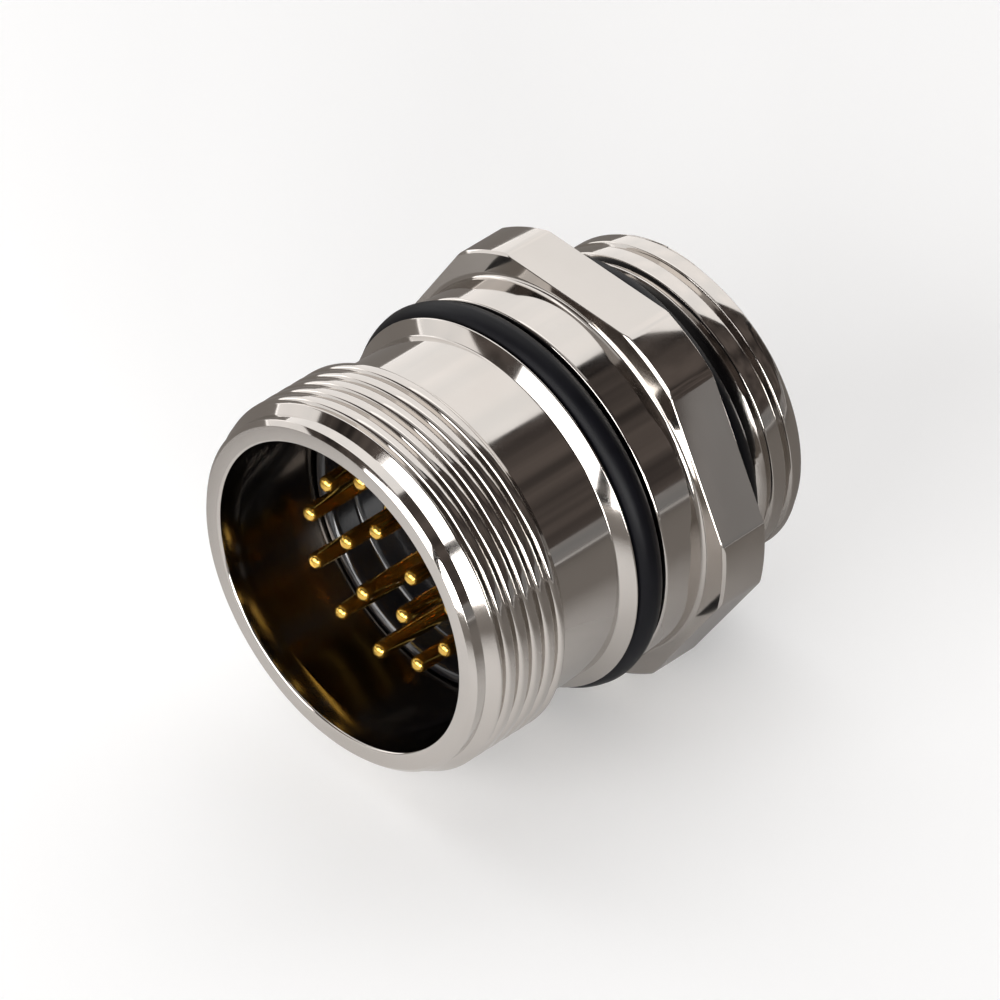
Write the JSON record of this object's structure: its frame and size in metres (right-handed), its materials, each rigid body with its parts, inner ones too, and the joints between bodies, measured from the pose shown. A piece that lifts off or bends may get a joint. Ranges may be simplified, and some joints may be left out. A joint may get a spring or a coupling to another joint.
{
  "type": "circular connector receptacle",
  "caption": "Panel-mount circular connector receptacle: turned nickel-plated shell with a mating thread, wrench flats, seals and a panel thread, and gold pins in a black insert.",
  "frame": {"origin": "under the middle of its length, on the surface that it lies on with one wrench flat down", "axes": "-Y along the shell's axis towards the mating end, +Z square to the upper wrench flat"},
  "size_m": [0.0266, 0.0268, 0.0248],
  "materials": {
    "nickel_plate": "bright nickel plate over turned brass",
    "seal_rubber": "smooth black nitrile rubber",
    "insulator": "black moulded plastic",
    "spring_steel": "oiled spring steel",
    "gold_plate": "gold plate over turned brass"
  },
  "bodies": {
    "root": {"shell": "nickel_plate", "mating_o_ring": "seal_rubber", "panel_o_ring": "seal_rubber", "contact_carrier": "insulator", "contact_retainer": "insulator", "retaining_ring": "spring_steel", "contact_01": "gold_plate", "contact_02": "gold_plate", "contact_03": "gold_plate", "contact_04": "gold_plate", "contact_05": "gold_plate", "contact_06": "gold_plate", "contact_07": "gold_plate", "contact_08": "gold_plate", "contact_09": "gold_plate", "contact_10": "gold_plate", "contact_11": "gold_plate", "contact_12": "gold_plate", "contact_13": "gold_plate", "contact_14": "gold_plate", "contact_15": "gold_plate", "contact_16": "gold_plate"}
  },
  "joints": []
}
